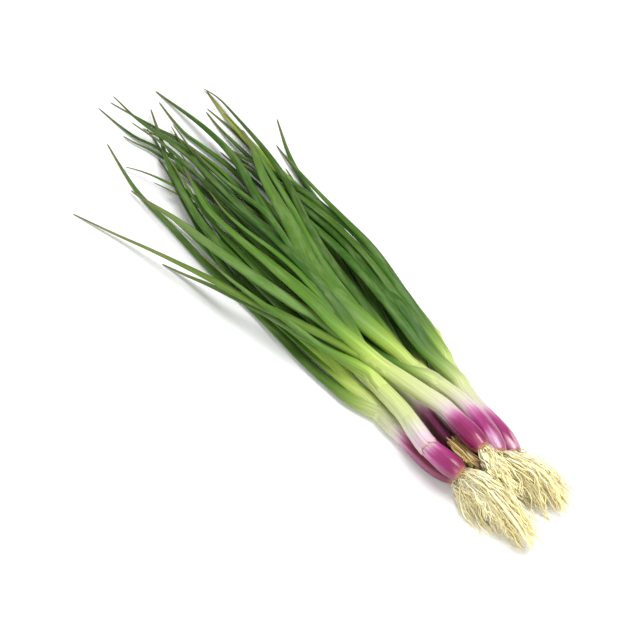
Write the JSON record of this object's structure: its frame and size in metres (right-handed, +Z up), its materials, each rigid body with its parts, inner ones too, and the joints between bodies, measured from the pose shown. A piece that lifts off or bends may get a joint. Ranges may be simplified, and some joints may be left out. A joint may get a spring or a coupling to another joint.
{
  "type": "spring onion bunch",
  "caption": "Loose bunch of red-bulbed spring onions lying on its side: slim purple bulbs with root tufts, pale shanks and long tapering green leaves.",
  "frame": {"origin": "on the table, under the middle of the bunch's bounding box", "axes": "+X from the roots to the leaf tips, +Y across the bunch, +Z up from the table"},
  "size_m": [0.4517, 0.1578, 0.0346],
  "materials": {
    "bulb_skin": "smooth, thin shiny skin, magenta to dark red, veined lengthwise",
    "shank": "satin, white to lime green, fine lengthwise ribs",
    "leaf": "satin with a pale waxy bloom, fine lengthwise veins, dry grey-olive tips",
    "root": "matte, cream, fibrous"
  },
  "bodies": {
    "root": {"onion_1_bulb": "bulb_skin", "onion_1_shank": "shank", "onion_1_leaves": "leaf", "onion_1_roots": "root", "onion_2_bulb": "bulb_skin", "onion_2_shank": "shank", "onion_2_leaves": "leaf", "onion_2_roots": "root", "onion_3_bulb": "bulb_skin", "onion_3_shank": "shank", "onion_3_leaves": "leaf", "onion_3_roots": "root", "onion_4_bulb": "bulb_skin", "onion_4_shank": "shank", "onion_4_leaves": "leaf", "onion_4_roots": "root", "onion_5_bulb": "bulb_skin", "onion_5_shank": "shank", "onion_5_leaves": "leaf", "onion_5_roots": "root", "onion_6_bulb": "bulb_skin", "onion_6_shank": "shank", "onion_6_leaves": "leaf", "onion_6_roots": "root", "onion_7_bulb": "bulb_skin", "onion_7_shank": "shank", "onion_7_leaves": "leaf", "onion_7_roots": "root"}
  },
  "joints": []
}
